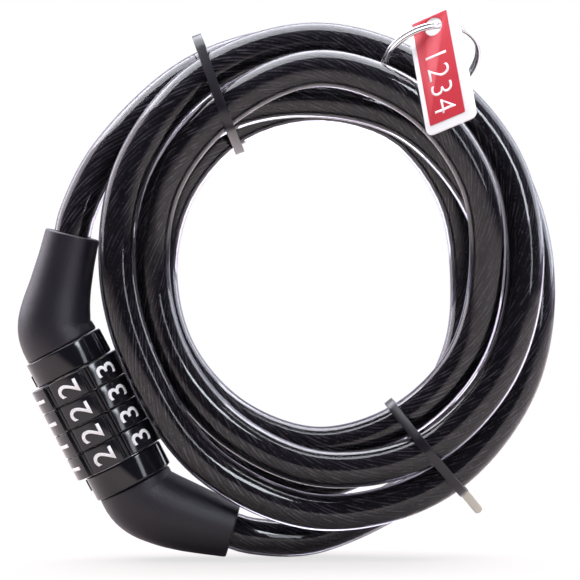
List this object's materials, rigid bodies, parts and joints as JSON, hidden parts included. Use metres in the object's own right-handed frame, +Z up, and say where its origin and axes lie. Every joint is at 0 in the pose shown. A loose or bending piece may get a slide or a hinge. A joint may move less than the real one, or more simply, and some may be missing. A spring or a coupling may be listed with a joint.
{
  "type": "coiled combination cable lock",
  "caption": "Coiled smoky-sheathed steel cable lock with turning number dials between two elbow boots, bound by two cable ties, with a split ring and a code tag.",
  "frame": {"origin": "middle of the footprint, on the floor", "axes": "+Z up, +Y through the coil's eye away from its front, +X to the right seen from the front"},
  "size_m": [0.175, 0.0614, 0.1788],
  "materials": {
    "smoky_pvc": "smoky translucent, glossy",
    "steel_rope": "twisted wire",
    "boot_rubber": "fine grain, matte",
    "gloss_black": "gloss",
    "brass": "turned",
    "nylon": "satin",
    "nickel": "nickel plated",
    "card_white": "satin",
    "card_red": "print",
    "steel": "turned"
  },
  "bodies": {
    "coil": {"cable_sheath": "smoky_pvc", "cable_rope": "steel_rope", "cable_sheath_lead": "smoky_pvc", "cable_rope_lead": "steel_rope", "boot_lower": "boot_rubber", "ferrule_lower": "brass", "cross_pin_lower": "steel", "collar_lower": "gloss_black", "core_tube": "steel", "retaining_clip": "steel", "wave_washer": "steel", "detent_leaf": "steel", "detent_ball_1": "steel", "detent_ball_2": "steel", "detent_ball_3": "steel", "detent_ball_4": "steel", "zip_tie_upper": "nylon", "zip_tie_lower": "nylon"},
    "plug": {"boot_upper": "boot_rubber", "ferrule_upper": "brass", "cross_pin_upper": "steel", "collar_upper": "gloss_black", "plug_pin": "steel"},
    "dial_1": {"dial_1": "gloss_black", "tumbler_1": "brass"},
    "dial_2": {"dial_2": "gloss_black", "tumbler_2": "brass"},
    "dial_3": {"dial_3": "gloss_black", "tumbler_3": "brass"},
    "dial_4": {"dial_4": "gloss_black", "tumbler_4": "brass"},
    "ring": {"split_ring": "nickel"},
    "tag": {"tag_card": "card_white", "tag_label": "card_red"}
  },
  "joints": [
    {"name": "dial_1_turn", "type": "hinge", "parent": "coil", "child": "dial_1", "pos_m": [-0.06728, 0.00255, 0.0579], "axis": [0.4633, 0, -0.8862], "continuous": true},
    {"name": "dial_2_turn", "type": "hinge", "parent": "coil", "child": "dial_2", "pos_m": [-0.0635, 0.00255, 0.05067], "axis": [0.4633, 0, -0.8862], "continuous": true},
    {"name": "dial_3_turn", "type": "hinge", "parent": "coil", "child": "dial_3", "pos_m": [-0.05972, 0.00255, 0.04344], "axis": [0.4633, 0, -0.8862], "continuous": true},
    {"name": "dial_4_turn", "type": "hinge", "parent": "coil", "child": "dial_4", "pos_m": [-0.05594, 0.00255, 0.0362], "axis": [0.4633, 0, -0.8862], "continuous": true},
    {"name": "plug_pull", "type": "slide", "parent": "coil", "child": "plug", "axis": [-0.4633, 0, 0.8862], "range_m": [0, 0.04], "deforming": ["cable_sheath_lead", "cable_rope_lead"]},
    {"name": "ring_spin", "type": "hinge", "parent": "coil", "child": "ring", "pos_m": [0.04623, 0.00031, 0.16156], "axis": [0.2245, -0.6671, -0.7104], "continuous": true},
    {"name": "tag_swing", "type": "hinge", "parent": "coil", "child": "tag", "pos_m": [0.04723, -0.01125, 0.17273], "axis": [-0.9725, -0.1997, -0.1198], "range_deg": [0, 30]}
  ]
}
